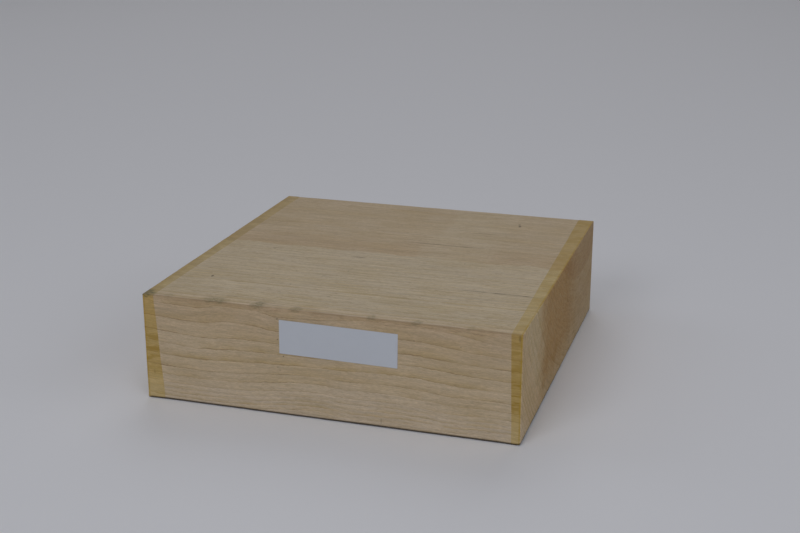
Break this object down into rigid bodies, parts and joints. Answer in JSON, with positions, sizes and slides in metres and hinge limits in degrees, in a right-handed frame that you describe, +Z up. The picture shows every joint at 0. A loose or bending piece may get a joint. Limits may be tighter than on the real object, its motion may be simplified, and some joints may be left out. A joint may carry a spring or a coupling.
{
  "type": "birch wood block",
  "caption": "Square-sawn birch blank for turning or carving, end grain sealed with wax, with a blank paper label on its front.",
  "frame": {"origin": "centre of the underside, where the block stands", "axes": "+X along the grain towards the right-hand end, +Y from the labelled front to the back, +Z up"},
  "size_m": [0.2006, 0.2032, 0.0579],
  "materials": {
    "birch": "fine-sawn and lightly planed, bare, with faint growth rings",
    "end_wax": "thin ochre paraffin coat, satin, with the rings showing through",
    "label_paper": "smooth white self-adhesive tape, semi-matt"
  },
  "bodies": {
    "root": {"birch_block": "birch", "wax_coat_left": "end_wax", "wax_coat_right": "end_wax", "paper_label": "label_paper"}
  },
  "joints": []
}
